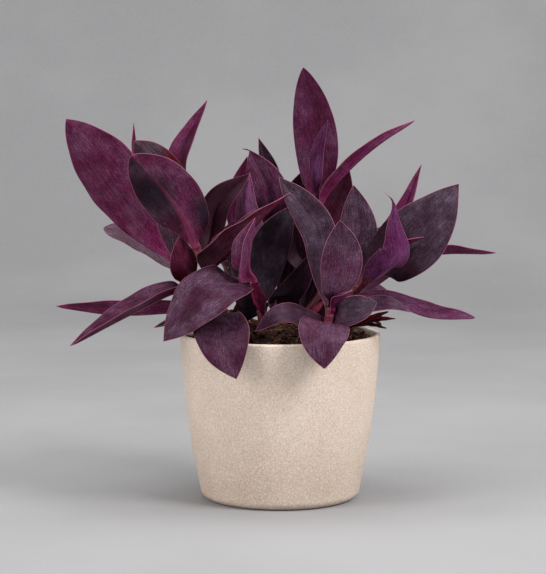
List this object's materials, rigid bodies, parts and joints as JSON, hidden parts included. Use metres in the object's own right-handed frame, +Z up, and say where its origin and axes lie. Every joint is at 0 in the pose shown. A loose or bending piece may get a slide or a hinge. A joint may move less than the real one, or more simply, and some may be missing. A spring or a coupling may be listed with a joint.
{
  "type": "potted tradescantia",
  "caption": "Purple-leaved trailing house plant with folded pointed leaves on fleshy stems, rooted in dark soil in a plain round tapered beige pot.",
  "frame": {"origin": "middle of the pot's flat base, where it rests", "axes": "+Z up the pot's axis; +Y to the back of the plant, away from the viewer; +X to the viewer's right"},
  "size_m": [0.307, 0.194, 0.3],
  "materials": {
    "pot": "matt beige glaze with a fine speckle",
    "soil": "rough dark potting mix of bark and fibre",
    "stem": "satin, fleshy pink to salmon",
    "leaf_slate": "satin, slate purple with a grey bloom",
    "leaf_plum": "satin, plum purple with a grey bloom",
    "leaf_magenta": "satin, vivid magenta underside",
    "leaf_maroon": "satin, very dark red purple in the shade",
    "leaf_violet": "satin, light violet, fine lengthwise veins",
    "leaf_dark": "satin, near black purple",
    "leaf_ash": "dull, grey with age, mottled"
  },
  "bodies": {
    "root": {"leaf_back_left_1": "leaf_maroon", "leaf_back_left_2": "leaf_slate", "leaf_back_left_3": "leaf_plum", "leaf_back_right_1": "leaf_plum", "leaf_back_right_2": "leaf_slate", "leaf_back_right_3": "leaf_plum", "leaf_center_1": "leaf_plum", "leaf_center_2": "leaf_violet", "leaf_center_3": "leaf_magenta", "leaf_center_4": "leaf_maroon", "leaf_center_5": "leaf_maroon", "leaf_center_6": "leaf_maroon", "leaf_center_7": "leaf_maroon", "leaf_center_back_1": "leaf_plum", "leaf_center_back_2": "leaf_slate", "leaf_center_back_3": "leaf_magenta", "leaf_center_back_4": "leaf_violet", "leaf_center_back_5": "leaf_dark", "leaf_center_back_6": "leaf_maroon", "leaf_front_1": "leaf_plum", "leaf_front_2": "leaf_magenta", "leaf_front_3": "leaf_plum", "leaf_front_4": "leaf_slate", "leaf_front_5": "leaf_magenta", "leaf_front_6": "leaf_plum", "leaf_front_left_1": "leaf_plum", "leaf_front_left_2": "leaf_violet", "leaf_front_left_3": "leaf_dark", "leaf_left_1": "leaf_magenta", "leaf_left_2": "leaf_ash", "leaf_left_3": "leaf_maroon", "leaf_left_4": "leaf_plum", "leaf_left_5": "leaf_plum", "leaf_left_6": "leaf_maroon", "leaf_left_7": "leaf_ash", "leaf_left_inner_1": "leaf_plum", "leaf_left_inner_2": "leaf_magenta", "leaf_left_inner_3": "leaf_magenta", "leaf_left_inner_4": "leaf_maroon", "leaf_left_inner_5": "leaf_maroon", "leaf_left_inner_6": "leaf_plum", "leaf_right_1": "leaf_slate", "leaf_right_2": "leaf_violet", "leaf_right_3": "leaf_magenta", "leaf_right_4": "leaf_slate", "leaf_right_5": "leaf_magenta", "leaf_right_6": "leaf_magenta", "leaf_right_7": "leaf_magenta", "leaf_right_8": "leaf_slate", "pot": "pot", "soil": "soil", "stem_back_left": "stem", "stem_back_right": "stem", "stem_center": "stem", "stem_center_back": "stem", "stem_front": "stem", "stem_front_left": "stem", "stem_left": "stem", "stem_left_inner": "stem", "stem_right": "stem"}
  },
  "joints": []
}
